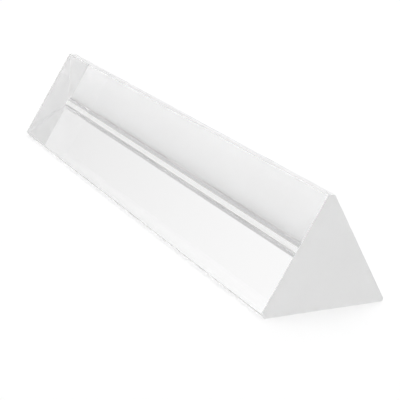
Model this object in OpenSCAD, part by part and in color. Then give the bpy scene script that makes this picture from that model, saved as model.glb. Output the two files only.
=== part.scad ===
// Equilateral glass prism for bench optics, made of one bar of clear glass: three polished faces,
// a narrow flat ground along each long edge, two matte ground ends and a fine chamfer round each end.
// Millimetres. The bar lies along X on one polished face, with the middle of that face at the origin.

/* [Bar] */
// Length from one ground end to the other
length = 150; // [40:1:300]
// Side of the triangle, measured to its sharp corners before they are ground off
side = 30; // [15:0.5:60]

/* [Edges] */
// Width of the flat ground along each long edge
edge_flat = 1.5; // [0.4:0.1:3]
// Leg of the 45 degree chamfer round each end
end_chamfer = 0.15; // [0.1:0.05:1]

/* [Hidden] */

// Corner angle of the equal-sided triangle, and its height.
corner_angle = 60;
height = side * sin(corner_angle);
// Sharp corners across the bar, counter-clockwise from the front of the face that it lies on.
corners = [[-side / 2, 0], [side / 2, 0], [0, height]];
// The flat at a corner is as wide as the length that it takes off each of the two sides there,
// so each corner gives two points: one on the side before it and one on the side after it.
outline = [
    for (i = [0 : 2])
        for (step = [2, 1])
            let (here = corners[i], other = corners[(i + step) % 3])
                here + (other - here) * edge_flat / side
];
chamfer_angle = 45;
// From the sharp end edge in to the chamfer, square to it.
chamfer_depth = end_chamfer * sin(chamfer_angle);
// How far a cutter reaches past the glass that it takes off.
cut_over = 2;

// Block that takes the chamfer off one edge of the end at +X: the edge runs from one outline point to the next.
module chamfer_cutter(from, to) {
    middle = (from + to) / 2;
    outward = atan2(to.y - from.y, to.x - from.x) - 90;
    reach = chamfer_depth + cut_over;
    translate([length / 2, middle.x, middle.y])
        rotate([outward, 0, 0])
            rotate([0, 0, chamfer_angle])
                translate([-chamfer_depth, -reach, -side / 2 - cut_over])
                    cube([reach, 2 * reach, side + 2 * cut_over]);
}

// The whole prism: the bevelled bar with the chamfer taken off all six edges of both ends.
module glass_prism() {
    color([0.93, 0.95, 0.95, 0.5])
        difference() {
            rotate([90, 0, 90])
                linear_extrude(length, center = true)
                    polygon(outline);
            for (end = [0, 1])
                mirror([end, 0, 0])
                    for (i = [0 : len(outline) - 1])
                        chamfer_cutter(outline[i], outline[(i + 1) % len(outline)]);
        }
}

glass_prism();
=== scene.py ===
"""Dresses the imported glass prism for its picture: polished faces, ground ends and stoned long edges.

The prism is one bar of clear glass, so the scene has one piece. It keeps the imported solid's size and
adds what the solid leaves out: rounded arrises, the width and slight wander of each flat along the long
edges, and the finish of each surface. All lengths are in metres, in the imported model's own frame.
"""

import logging
import math
import random
from dataclasses import dataclass, field
from enum import IntEnum
from typing import Any, Mapping, Sequence

import bmesh
import bpy
from mathutils import Matrix, Vector


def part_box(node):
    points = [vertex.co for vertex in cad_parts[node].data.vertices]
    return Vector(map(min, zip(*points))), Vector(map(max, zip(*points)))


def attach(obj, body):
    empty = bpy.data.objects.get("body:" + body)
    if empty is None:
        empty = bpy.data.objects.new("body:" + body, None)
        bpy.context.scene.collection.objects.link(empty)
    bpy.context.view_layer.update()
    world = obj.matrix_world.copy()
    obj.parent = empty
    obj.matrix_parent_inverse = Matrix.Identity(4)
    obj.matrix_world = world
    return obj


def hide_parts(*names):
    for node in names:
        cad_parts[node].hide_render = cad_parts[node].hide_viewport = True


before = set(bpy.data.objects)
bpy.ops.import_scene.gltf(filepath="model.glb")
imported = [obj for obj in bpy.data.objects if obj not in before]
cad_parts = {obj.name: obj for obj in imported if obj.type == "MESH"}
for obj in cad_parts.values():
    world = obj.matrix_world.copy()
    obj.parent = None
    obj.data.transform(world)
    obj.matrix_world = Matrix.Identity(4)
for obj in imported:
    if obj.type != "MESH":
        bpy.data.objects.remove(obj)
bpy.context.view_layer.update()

MM = 0.001
NODE = "glass_prism"
BODY = "root"
PICTURE_PIXELS = 400
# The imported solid's flats take this much off the triangle's side.
PACKED_FLAT = 1.5 * MM
# From one corner of the triangle to the next, and the front bottom corner's direction from the axis.
CORNER_TURN = math.radians(120)
FIRST_CORNER = math.radians(-150)
QUARTER_TURN = math.pi / 2
# A dense flint bends light this strongly.
FLINT_IOR = 1.70
# Noise keeps near the middle of its range, so roughness goes from least to most between these values.
ROUGH_SPAN = (0.3, 0.7)
# A mix node repeats its socket names for numbers, vectors and colours: these are the colours' places.
MIX_A = 6
MIX_B = 7
MIX_RESULT = 2
# Light meets the faces many times on its way along the bar, and the card a few times.
GLASS_BOUNCES = 32
CARD_BOUNCES = 8

log = logging.getLogger("prism")

Colour = tuple[float, float, float, float]
Span = tuple[float, float]


class Surface(IntEnum):
    """Kinds of surface on the bar; the value is the material's place on the piece."""

    POLISHED_FACE = 0
    RIDGE_FLAT = 1
    FRONT_FLAT = 2
    BACK_FLAT = 3
    GROUND_END = 4
    END_CHAMFER = 5
    SECOND_FACET = 6


def linear(colour: str) -> Colour:
    """Turns an sRGB hex colour into linear light, by the curve of the sRGB standard.

    Args:
        colour: Six hex digits after a hash sign.

    Returns:
        Red, green, blue and an alpha of 1.
    """
    channels = [int(colour[i : i + 2], 16) / 255 for i in (1, 3, 5)]
    light = [c / 12.92 if c <= 0.04045 else ((c + 0.055) / 1.055) ** 2.4 for c in channels]
    return (light[0], light[1], light[2], 1.0)


def direction(angle: float) -> Vector:
    """Gives the unit vector across the bar, in Y and Z, at an angle from +Y."""
    return Vector((math.cos(angle), math.sin(angle)))


def add_node(
    tree: bpy.types.NodeTree,
    kind: str,
    settings: Mapping[str | int, Any] | None = None,
    links: Mapping[str | int, bpy.types.NodeSocket] | None = None,
) -> bpy.types.Node:
    """Adds a node with its settings and links.

    Args:
        tree: Node tree to add to.
        kind: Blender's name for the kind of node.
        settings: Values by input socket name or number, or by property name.
        links: Source sockets by input socket name or number.

    Returns:
        The new node.
    """
    node = tree.nodes.new(kind)
    for name, value in (settings or {}).items():
        if isinstance(name, int) or name in node.inputs:
            node.inputs[name].default_value = value
        else:
            setattr(node, name, value)
    for name, source in (links or {}).items():
        tree.links.new(source, node.inputs[name])
    return node


def new_material(name: str) -> bpy.types.Material:
    """Makes an empty node material.

    Args:
        name: The material's name.

    Returns:
        A material whose node tree holds nothing yet.
    """
    material = bpy.data.materials.new(name)
    material.use_nodes = True
    material.node_tree.nodes.clear()
    return material


def two_tones(
    tree: bpy.types.NodeTree,
    pattern: bpy.types.NodeSocket,
    span: Span,
    colours: tuple[str, str],
) -> bpy.types.NodeSocket:
    """Colours a surface in two tones that follow a pattern.

    Args:
        tree: The material's node tree.
        pattern: Value of the pattern, from 0 to 1.
        span: Values of the pattern at which the first tone begins to go and the second is full.
        colours: The two tones as sRGB hex colours.

    Returns:
        The colour at each point of the surface.
    """
    share = add_node(
        tree,
        "ShaderNodeMapRange",
        {"From Min": span[0], "From Max": span[1]},
        {"Value": pattern},
    )
    tone = add_node(
        tree,
        "ShaderNodeMix",
        {"data_type": "RGBA", MIX_A: linear(colours[0]), MIX_B: linear(colours[1])},
        {"Factor": share.outputs["Result"]},
    )
    return tone.outputs[MIX_RESULT]


def dulled_glass(
    material: bpy.types.Material,
    pattern: bpy.types.NodeSocket,
    tone: bpy.types.NodeSocket,
    roughness: Span,
    depth: float,
    milk: float = 0.0,
) -> bpy.types.Material:
    """Ends a material in glass that a fine pattern has made rough and uneven.

    Args:
        material: The material that holds the pattern.
        pattern: Value of the pattern, from 0 to 1.
        tone: Colour of the glass.
        roughness: Least and greatest roughness.
        depth: Height of the pattern's bumps.
        milk: Share of the light that the surface scatters back, as frosted glass does.

    Returns:
        The same material, complete.
    """
    tree = material.node_tree
    rough = add_node(
        tree,
        "ShaderNodeMapRange",
        {
            "From Min": ROUGH_SPAN[0],
            "From Max": ROUGH_SPAN[1],
            "To Min": roughness[0],
            "To Max": roughness[1],
        },
        {"Value": pattern},
    )
    bump = add_node(
        tree,
        "ShaderNodeBump",
        {"Strength": 1.0, "Distance": depth},
        {"Height": pattern},
    )
    glass = add_node(
        tree,
        "ShaderNodeBsdfPrincipled",
        {"IOR": FLINT_IOR, "Transmission Weight": 1 - milk},
        {
            "Base Color": tone,
            "Roughness": rough.outputs["Result"],
            "Normal": bump.outputs["Normal"],
        },
    )
    add_node(tree, "ShaderNodeOutputMaterial", links={"Surface": glass.outputs["BSDF"]})
    return material


@dataclass(frozen=True)
class PolishedFlintGlass:
    """Flint glass ground flat and polished with pitch and rouge.

    The eye gets sharp reflections and a clear view right through, with only a trace of haze where a
    cloth has left the surface less than clean. The base is tinted grey towards its back edge: painted
    shade for the darker card under that edge.
    """

    name: str = "flint_glass_polished"
    colour: str = "#FDFDFD"
    haze: float = 0.012
    smear: float = 14 * MM
    smear_detail: float = 3.0
    smear_span: Span = (0.45, 0.75)
    # Painted shade: the base's glass is tinted grey towards its back edge, in place of the shade on the
    # card under that edge.
    grey: str = "#E5E5E5"
    painted_shade_from: float = 7.0 * MM
    painted_shade_to: float = 13.3 * MM
    painted_shade_power: float = 3.5
    # The base is the one polished face whose normal stands more upright than this.
    upright_from: float = 0.75

    def painted_shade_margin(self, tree: bpy.types.NodeTree, place: bpy.types.Node) -> bpy.types.NodeSocket:
        """Works out how strongly the painted shade greys the base towards its back edge.

        Args:
            tree: The material's node tree.
            place: Its texture coordinates.

        Returns:
            Value that is 1 at the back edge of the base, and 0 well away from it and on other faces.
        """
        where = add_node(tree, "ShaderNodeSeparateXYZ", links={"Vector": place.outputs["Object"]})
        facing = add_node(tree, "ShaderNodeSeparateXYZ", links={"Vector": place.outputs["Normal"]})
        near = add_node(
            tree,
            "ShaderNodeMapRange",
            {"From Min": self.painted_shade_from, "From Max": self.painted_shade_to},
            {"Value": where.outputs["Y"]},
        )
        steep = add_node(
            tree,
            "ShaderNodeMath",
            {"operation": "POWER", 1: self.painted_shade_power},
            {0: near.outputs["Result"]},
        )
        # Seen from inside the glass the normal turns round, so only its size tells the level face.
        upright = add_node(tree, "ShaderNodeMath", {"operation": "ABSOLUTE"}, {0: facing.outputs["Z"]})
        below = add_node(
            tree,
            "ShaderNodeMath",
            {"operation": "GREATER_THAN", 1: self.upright_from},
            {0: upright.outputs["Value"]},
        )
        painted_shade_margin = add_node(
            tree,
            "ShaderNodeMath",
            {"operation": "MULTIPLY"},
            {0: steep.outputs["Value"], 1: below.outputs["Value"]},
        )
        return painted_shade_margin.outputs["Value"]

    def material(self) -> bpy.types.Material:
        """Builds the material.

        Returns:
            Clear glass with faint uneven haze, and painted shade that greys the base towards its back
            edge.
        """
        material = new_material(self.name)
        tree = material.node_tree
        place = add_node(tree, "ShaderNodeTexCoord")
        smears = add_node(
            tree,
            "ShaderNodeTexNoise",
            {"Scale": 1 / self.smear, "Detail": self.smear_detail},
            {"Vector": place.outputs["Object"]},
        )
        haze = add_node(
            tree,
            "ShaderNodeMapRange",
            {
                "From Min": self.smear_span[0],
                "From Max": self.smear_span[1],
                "To Min": 0.0,
                "To Max": self.haze,
            },
            {"Value": smears.outputs["Fac"]},
        )
        # Painted shade: the base turns towards grey near its back edge.
        tone = add_node(
            tree,
            "ShaderNodeMix",
            {"data_type": "RGBA", MIX_A: linear(self.colour), MIX_B: linear(self.grey)},
            {"Factor": self.painted_shade_margin(tree, place)},
        )
        glass = add_node(
            tree,
            "ShaderNodeBsdfPrincipled",
            {"IOR": FLINT_IOR, "Transmission Weight": 1.0},
            {"Base Color": tone.outputs[MIX_RESULT], "Roughness": haze.outputs["Result"]},
        )
        add_node(tree, "ShaderNodeOutputMaterial", links={"Surface": glass.outputs["BSDF"]})
        return material


@dataclass(frozen=True)
class StonedEdgeGlass:
    """Flint glass whose long edges were taken off on a fine stone.

    The eye gets a pale band, nearly clear to milky by how fine the stone was, with fine scratches along
    it that look darker where polishing residue has stayed in them. On the second facet that darker tone
    is painted shade, which deepens streaks of the two dark lines along the back bottom edge.
    """

    name: str
    colour: str
    # Colour where residue has stayed, and the values of the scratches' noise from none to full. On the
    # second facet this colour is painted shade.
    residue_and_shade: str
    residue_and_shade_span: Span = (0.45, 0.6)
    roughness: float = 0.30
    # The stone's scratches are about 0.02 mm wide: drawn at 0.25 mm or more so that they show at all.
    scratch_width: float = 0.25 * MM
    scratch_length: float = 30 * MM
    scratch_detail: float = 2.0
    depth: float = 0.0005 * MM
    # How far the scratches make the roughness swing either way, as a share of it.
    streak: float = 0.15
    # Share of the light that the scratches scatter back, as they do in frosted glass.
    milk: float = 0.0

    def material(self) -> bpy.types.Material:
        """Builds the material.

        Returns:
            Satin glass with scratches along X.
        """
        material = new_material(self.name)
        tree = material.node_tree
        place = add_node(tree, "ShaderNodeTexCoord")
        along = add_node(
            tree,
            "ShaderNodeMapping",
            {"Scale": (1 / self.scratch_length, 1 / self.scratch_width, 1 / self.scratch_width)},
            {"Vector": place.outputs["Object"]},
        )
        scratches = add_node(
            tree,
            "ShaderNodeTexNoise",
            {"Scale": 1.0, "Detail": self.scratch_detail},
            {"Vector": along.outputs["Vector"]},
        )
        pattern = scratches.outputs["Fac"]
        # The second tone is residue on most flats, and painted shade on the second facet.
        tone = two_tones(tree, pattern, self.residue_and_shade_span, (self.colour, self.residue_and_shade))
        roughness = (self.roughness * (1 - self.streak), self.roughness * (1 + self.streak))
        return dulled_glass(material, pattern, tone, roughness, self.depth, self.milk)


@dataclass(frozen=True)
class GroundFlintGlass:
    """Flint glass sawn across and ground matte with loose grit.

    The eye gets an even milky grey that glows with the light inside the bar and shows nothing through
    it.
    """

    name: str = "flint_glass_ground"
    colour: str = "#F3F3F3"
    # The grit bites a little unevenly, which leaves faint clouds.
    cloud_colour: str = "#EFEFEF"
    cloud: float = 7 * MM
    cloud_detail: float = 3.0
    cloud_span: Span = (0.35, 0.65)
    roughness: float = 0.74
    # How far the grain makes the roughness swing either way.
    swing: float = 0.06
    # Grit of about 0.04 mm: drawn at 0.35 mm so that its grain shows.
    grain: float = 0.35 * MM
    grain_detail: float = 4.0
    depth: float = 0.01 * MM

    def material(self) -> bpy.types.Material:
        """Builds the material.

        Returns:
            Matte glass with a fine grain and faint clouds.
        """
        material = new_material(self.name)
        tree = material.node_tree
        place = add_node(tree, "ShaderNodeTexCoord")
        grains = add_node(
            tree,
            "ShaderNodeTexNoise",
            {"Scale": 1 / self.grain, "Detail": self.grain_detail},
            {"Vector": place.outputs["Object"]},
        )
        clouds = add_node(
            tree,
            "ShaderNodeTexNoise",
            {"Scale": 1 / self.cloud, "Detail": self.cloud_detail},
            {"Vector": place.outputs["Object"]},
        )
        colours = (self.colour, self.cloud_colour)
        tone = two_tones(tree, clouds.outputs["Fac"], self.cloud_span, colours)
        roughness = (self.roughness - self.swing, self.roughness + self.swing)
        return dulled_glass(material, grains.outputs["Fac"], tone, roughness, self.depth)


Finish = PolishedFlintGlass | StonedEdgeGlass | GroundFlintGlass


@dataclass(frozen=True)
class EdgeFlat:
    """A flat taken off one long edge by hand, its legs measured along the polished faces beside it.

    Seen from the near end, the faces are met in anticlockwise order: the one before the flat, then the
    one after it. A second stroke of the stone may leave a narrower facet between the face before and the
    flat. The arrises are slightly rounded, and the flat may run out towards the near end.
    """

    before: float
    after: float
    surface: Surface
    # Leg of the second facet, if there is one, and its turn from the face before in degrees.
    second_leg: float = 0.0
    second_turn: float = 30.0
    rounding: float = 0.12 * MM
    wander: float = 0.03 * MM
    # Where along the bar the running out begins and ends, and the share of the flat that is left then.
    run_out_from: float = 62 * MM
    run_out_to: float = 75 * MM
    run_out_keep: float = 1.0

    def keep(self, x: float) -> float:
        """Works out how much of the flat is left as it runs out, with a soft start and end.

        Args:
            x: Place along the bar.

        Returns:
            Share of the flat's full size, from 1 down to what is kept at the near end.
        """
        share = (x - self.run_out_from) / (self.run_out_to - self.run_out_from)
        share = min(max(share, 0.0), 1.0)
        return 1 - (1 - self.run_out_keep) * share * share * (3 - 2 * share)

    def drift(self, x: float, waves: Sequence[Span]) -> float:
        """Gives what the hand's slow waves, each a length and a phase, add to both legs at x."""
        swings = [math.sin(math.tau * x / length + phase) for length, phase in waves]
        return self.wander * sum(swings) / len(waves)


@dataclass(frozen=True)
class Side:
    """One straight side of the outline across the bar, with the rounding of the arris before it."""

    angle: float
    away: float
    surface: Surface
    rounding: float


@dataclass
class PrismBar:
    """The one piece: a glass bar of triangular section, with flats along its edges and chamfered ends."""

    length: float
    side: float
    end_chamfer: float = 0.03 * MM
    arris_steps: int = 8
    station_gap: float = 2.5 * MM
    # The hand that ground the flats wandered in a few slow waves, with lengths between these two.
    hand_seed: int = 7
    hand_waves: int = 3
    hand_wave: Span = (30 * MM, 160 * MM)
    # Front bottom edge, back bottom edge, ridge: anticlockwise as seen from the near end.
    flats: Sequence[EdgeFlat] = (
        EdgeFlat(1.30 * MM, 1.55 * MM, Surface.FRONT_FLAT, rounding=0.05 * MM),
        EdgeFlat(1.68 * MM, 1.60 * MM, Surface.BACK_FLAT, second_leg=2.0 * MM, run_out_keep=0.42),
        EdgeFlat(1.73 * MM, 1.73 * MM, Surface.RIDGE_FLAT, run_out_from=-30 * MM, run_out_keep=0.93),
    )
    finishes: Mapping[Surface, Finish] = field(
        default_factory=lambda: {
            Surface.POLISHED_FACE: PolishedFlintGlass(),
            Surface.RIDGE_FLAT: StonedEdgeGlass(
                "flint_glass_stoned_ridge", "#EAEAEA", "#E2E2E2", milk=0.5
            ),
            Surface.FRONT_FLAT: StonedEdgeGlass(
                "flint_glass_stoned_edge", "#E6E6E6", "#DEDEDE", milk=0.15
            ),
            Surface.BACK_FLAT: StonedEdgeGlass(
                "flint_glass_rubbed_edge", "#EEEEEE", "#E6E6E6", roughness=0.04
            ),
            Surface.GROUND_END: GroundFlintGlass(),
            Surface.END_CHAMFER: GroundFlintGlass("flint_glass_chamfer", "#FAFAFA", "#F6F6F6"),
            # Its dark second tone is painted shade: it darkens streaks of the two dark lines along the
            # back bottom edge.
            Surface.SECOND_FACET: StonedEdgeGlass(
                "flint_glass_stoned_bevel",
                "#FAFAFA",
                "#BCBCBC",
                roughness=0.1,
                scratch_width=0.4 * MM,
                scratch_length=25 * MM,
                milk=0.4,
            ),
        }
    )

    @property
    def axis_high(self) -> float:
        """Height of the bar's axis above the face that it lies on."""
        return self.side / (2 * math.tan(CORNER_TURN / 2))

    def stations(self) -> list[tuple[float, float]]:
        """Lists where the sections stand.

        Returns:
            Pairs of X and the inset of the section there, from the far end to the near one.
        """
        half = self.length / 2
        inner = half - self.end_chamfer
        count = round(2 * inner / self.station_gap)
        between = [(-inner + 2 * inner * i / count, 0.0) for i in range(count + 1)]
        return [(-half, self.end_chamfer), *between, (half, self.end_chamfer)]

    def drifts(self) -> list[list[float]]:
        """Works out how the hand-ground flats wander along the bar.

        Returns:
            For each station, what is added to the legs of the flat at each of the three corners.
        """
        draw = random.Random(self.hand_seed)
        waves = [
            [(draw.uniform(*self.hand_wave), draw.uniform(0, math.tau)) for _ in range(self.hand_waves)]
            for _ in self.flats
        ]
        return [
            [flat.drift(x, wave) for flat, wave in zip(self.flats, waves)]
            for x, _ in self.stations()
        ]

    def sides(self, inset: float, x: float, drifts: Sequence[float]) -> list[Side]:
        """Lists the sides of the outline across the bar, measured from its axis.

        Args:
            inset: How far every side moves in towards the axis.
            x: Place along the bar.
            drifts: What the hand's wander adds to the legs of each flat.

        Returns:
            The sides in anticlockwise order: at each corner its facets, then the polished face.
        """
        corner_away = self.side / (2 * math.sin(CORNER_TURN / 2))
        sides: list[Side] = []
        for corner, (flat, drift) in enumerate(zip(self.flats, drifts)):
            keep = flat.keep(x)
            rounding = keep * flat.rounding
            outward = FIRST_CORNER + corner * CORNER_TURN
            first = outward - CORNER_TURN / 2
            last = outward + CORNER_TURN / 2
            sharp = corner_away * direction(outward)
            back_along = -direction(first + QUARTER_TURN)
            start = sharp + keep * (flat.before + drift) * back_along
            end = sharp + keep * (flat.after + drift) * direction(last + QUARTER_TURN)
            facets = [(math.atan2(start.x - end.x, end.y - start.y), start, flat.surface)]
            if flat.second_leg:
                second = sharp + keep * (flat.second_leg + drift) * back_along
                turned = first + math.radians(flat.second_turn)
                facets.insert(0, (turned, second, Surface.SECOND_FACET))
            for angle, point, surface in facets:
                sides.append(Side(angle, point.dot(direction(angle)) - inset, surface, rounding))
            sides.append(Side(last, self.axis_high - inset, Surface.POLISHED_FACE, rounding))
        return sides

    def arris(self, before: Side, after: Side) -> list[Vector]:
        """Rounds the arris between two sides of the outline.

        Args:
            before: The first side, anticlockwise.
            after: The side that follows it, which holds the radius.

        Returns:
            Points along the arc, from the first side to the second, measured from the axis.
        """
        normal_a, normal_b = direction(before.angle), direction(after.angle)
        in_a, in_b = before.away - after.rounding, after.away - after.rounding
        cross = normal_a.x * normal_b.y - normal_a.y * normal_b.x
        hub_x = (in_a * normal_b.y - in_b * normal_a.y) / cross
        hub_y = (in_b * normal_a.x - in_a * normal_b.x) / cross
        turn = math.remainder(after.angle - before.angle, math.tau)
        angles = [before.angle + turn * i / self.arris_steps for i in range(self.arris_steps + 1)]
        return [Vector((hub_x, hub_y)) + after.rounding * direction(angle) for angle in angles]

    def section(self, inset: float, x: float, drifts: Sequence[float]) -> list[Vector]:
        """Traces the outline across the bar.

        Args:
            inset: How far every side of the outline moves in towards the axis.
            x: Place along the bar.
            drifts: What the hand's wander adds to the legs of each flat.

        Returns:
            Points in Y and Z, anticlockwise, the same number at each arris.
        """
        sides = self.sides(inset, x, drifts)
        axis = Vector((0.0, self.axis_high))
        pairs = zip([sides[-1], *sides], sides)
        return [axis + point for before, after in pairs for point in self.arris(before, after)]

    def strips(self) -> list[tuple[Surface, bool]]:
        """Lists the strips that run along the bar, in the order of the outline's points.

        Returns:
            For each strip, its kind of surface and whether it is part of a rounded arris.
        """
        kinds = [side.surface for side in self.sides(0.0, 0.0, [0.0] * len(self.flats))]
        strips: list[tuple[Surface, bool]] = []
        for before, here in zip([kinds[-1], *kinds], kinds):
            arris = before if here is Surface.POLISHED_FACE else here
            strips += [(arris, True)] * self.arris_steps + [(here, False)]
        return strips

    def build(self) -> bpy.types.Object:
        """Makes the bar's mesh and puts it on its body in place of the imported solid.

        Returns:
            The finished piece, without materials.
        """
        mesh = bmesh.new()
        rings = []
        for (x, inset), drifts in zip(self.stations(), self.drifts()):
            rings.append([mesh.verts.new((x, p.x, p.y)) for p in self.section(inset, x, drifts)])
        last = len(rings) - 2
        strips = self.strips()
        for station, (ring, following) in enumerate(zip(rings, rings[1:])):
            chamfer = station in (0, last)
            for i, (surface, rounded) in enumerate(strips):
                j = (i + 1) % len(strips)
                quad = mesh.faces.new((ring[i], ring[j], following[j], following[i]))
                quad.material_index = Surface.END_CHAMFER if chamfer else surface
                quad.smooth = rounded and not chamfer
        for ring in (list(reversed(rings[0])), rings[-1]):
            mesh.faces.new(ring).material_index = Surface.GROUND_END
        bmesh.ops.recalc_face_normals(mesh, faces=mesh.faces)
        data = bpy.data.meshes.new("prism_bar")
        mesh.to_mesh(data)
        mesh.free()
        piece = bpy.data.objects.new("prism_bar", data)
        bpy.context.scene.collection.objects.link(piece)
        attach(piece, BODY)
        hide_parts(NODE)
        return piece

    def dress(self, piece: bpy.types.Object) -> None:
        """Gives the built bar one material for each kind of surface."""
        for kind in Surface:
            piece.data.materials.append(self.finishes[kind].material())


@dataclass(frozen=True)
class BrightWall:
    """A soft bright patch of the room, full towards one direction and fading out round it."""

    towards: tuple[float, float, float] = (-0.5, 0.75, 0.43)
    strength: float = 0.49
    # Cosines of the angles from that direction at which the patch ends and is full.
    fades_from: float = 0.5
    full_from: float = 0.95


@dataclass
class Studio:
    """White card under the prism, a grey room with one bright wall, and one soft lamp overhead."""

    card_gap: float = 0.05 * MM
    card_size: float = 4.0
    card_colour: str = "#F8F8F8"
    # Share of plain white in the card as the camera sees it, and as the glass shows it.
    card_glow: float = 0.62
    card_glow_in_glass: float = 0.15
    room_level: float = 0.565
    room_colour: str = "#FFFFFF"
    wall: BrightWall = BrightWall()
    lamp_watts: float = 10.3
    lamp_size: float = 1.0
    lamp_place: Vector = field(default_factory=lambda: Vector((-0.2, 0.12, 1.4)))

    def build(self) -> None:
        """Makes the card, the room and the lamp."""
        self.card()
        self.room()
        self.lamp()

    def card(self) -> None:
        """Lays the white card just under the glass: a film of air keeps the base face bright."""
        reach = self.card_size / 2
        data = bpy.data.meshes.new("card")
        corners = [(-reach, -reach), (reach, -reach), (reach, reach), (-reach, reach)]
        data.from_pydata([(x, y, -self.card_gap) for x, y in corners], [], [(0, 1, 2, 3)])
        card = bpy.data.objects.new("card", data)
        bpy.context.scene.collection.objects.link(card)
        data.materials.append(self.card_material())

    def card_material(self) -> bpy.types.Material:
        """Builds the card's material.

        Returns:
            Uncoated white card: a matte white that keeps the shadow, evened out with plain white.
        """
        material = new_material("white_card")
        tree = material.node_tree
        path = add_node(tree, "ShaderNodeLightPath")
        in_glass = add_node(
            tree,
            "ShaderNodeMath",
            {"operation": "MAXIMUM"},
            {0: path.outputs["Is Glossy Ray"], 1: path.outputs["Is Transmission Ray"]},
        )
        glass_share = add_node(
            tree,
            "ShaderNodeMath",
            {"operation": "MULTIPLY", 1: self.card_glow_in_glass},
            {0: in_glass.outputs["Value"]},
        )
        share = add_node(
            tree,
            "ShaderNodeMath",
            {"operation": "MULTIPLY_ADD", 1: self.card_glow},
            {0: path.outputs["Is Camera Ray"], 2: glass_share.outputs["Value"]},
        )
        matte = add_node(tree, "ShaderNodeBsdfDiffuse", {"Color": linear(self.card_colour)})
        white = add_node(tree, "ShaderNodeEmission", {"Strength": 1.0})
        mixed = add_node(
            tree,
            "ShaderNodeMixShader",
            links={0: share.outputs["Value"], 1: matte.outputs["BSDF"], 2: white.outputs["Emission"]},
        )
        add_node(tree, "ShaderNodeOutputMaterial", links={"Surface": mixed.outputs["Shader"]})
        return material

    def room(self) -> None:
        """Surrounds the scene with the grey room and its bright wall."""
        world = bpy.data.worlds.new("room")
        world.use_nodes = True
        tree = world.node_tree
        tree.nodes.clear()
        place = add_node(tree, "ShaderNodeTexCoord")
        towards = add_node(
            tree,
            "ShaderNodeVectorMath",
            {"operation": "DOT_PRODUCT", 1: Vector(self.wall.towards).normalized()},
            {0: place.outputs["Generated"]},
        )
        level = add_node(
            tree,
            "ShaderNodeMapRange",
            {
                "interpolation_type": "SMOOTHSTEP",
                "From Min": self.wall.fades_from,
                "From Max": self.wall.full_from,
                "To Min": self.room_level,
                "To Max": self.room_level + self.wall.strength,
            },
            {"Value": towards.outputs["Value"]},
        )
        light = add_node(
            tree,
            "ShaderNodeBackground",
            {"Color": linear(self.room_colour)},
            {"Strength": level.outputs["Result"]},
        )
        add_node(tree, "ShaderNodeOutputWorld", links={"Surface": light.outputs["Background"]})
        bpy.context.scene.world = world

    def lamp(self) -> None:
        """Hangs the soft lamp, turned towards the prism."""
        data = bpy.data.lights.new("soft_lamp", "AREA")
        data.energy = self.lamp_watts
        data.size = self.lamp_size
        lamp = bpy.data.objects.new("soft_lamp", data)
        lamp.location = self.lamp_place
        lamp.rotation_mode = "QUATERNION"
        lamp.rotation_quaternion = (-self.lamp_place).to_track_quat("-Z", "Y")
        bpy.context.scene.collection.objects.link(lamp)


@dataclass(frozen=True)
class PhotoCamera:
    """The camera as fitted to the photograph's outline edges, with its angles in degrees."""

    azimuth: float = 63.669
    elevation: float = 17.4758
    roll: float = 2.5647
    eye: tuple[float, float, float] = (272.89 * MM, -126.99 * MM, 95.92 * MM)
    focal_pixels: float = 1234.4
    # Width of the camera's sensor, which Blender takes in millimetres.
    sensor: float = 36.0
    nearest: float = 0.01
    farthest: float = 20.0

    def build(self) -> None:
        """Sets up the scene's camera."""
        data = bpy.data.cameras.new("camera")
        data.sensor_width = self.sensor
        data.lens = self.focal_pixels / PICTURE_PIXELS * self.sensor
        data.clip_start = self.nearest
        data.clip_end = self.farthest
        camera = bpy.data.objects.new("camera", data)
        # An unturned camera looks straight down, so it tips up by 90 degrees less the elevation.
        turn = (
            Matrix.Rotation(math.radians(self.azimuth), 4, "Z")
            @ Matrix.Rotation(math.radians(90 - self.elevation), 4, "X")
            @ Matrix.Rotation(math.radians(self.roll), 4, "Z")
        )
        camera.matrix_world = Matrix.Translation(self.eye) @ turn
        bpy.context.scene.collection.objects.link(camera)
        bpy.context.scene.camera = camera


def set_light_paths() -> None:
    """Lets light bounce often enough to cross the bar from end to end."""
    scene = bpy.context.scene
    scene.view_settings.view_transform = "Standard"
    scene.cycles.max_bounces = GLASS_BOUNCES
    scene.cycles.glossy_bounces = GLASS_BOUNCES
    scene.cycles.transmission_bounces = GLASS_BOUNCES
    scene.cycles.diffuse_bounces = CARD_BOUNCES
    # Light that has met the card must still pass the polished faces as sharply as they are.
    scene.cycles.blur_glossy = 0.0


def main() -> None:
    """Builds the prism, the studio and the camera."""
    logging.basicConfig(level=logging.INFO, format="%(name)s: %(message)s")
    set_light_paths()
    low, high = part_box(NODE)
    bar = PrismBar(length=high.x - low.x, side=high.y - low.y + PACKED_FLAT)
    piece = bar.build()
    bar.dress(piece)
    log.info("%s: %d faces", piece.name, len(piece.data.polygons))
    Studio().build()
    log.info("studio: card, room and lamp")
    PhotoCamera().build()
    log.info("camera set")


if __name__ == "__main__":
    main()
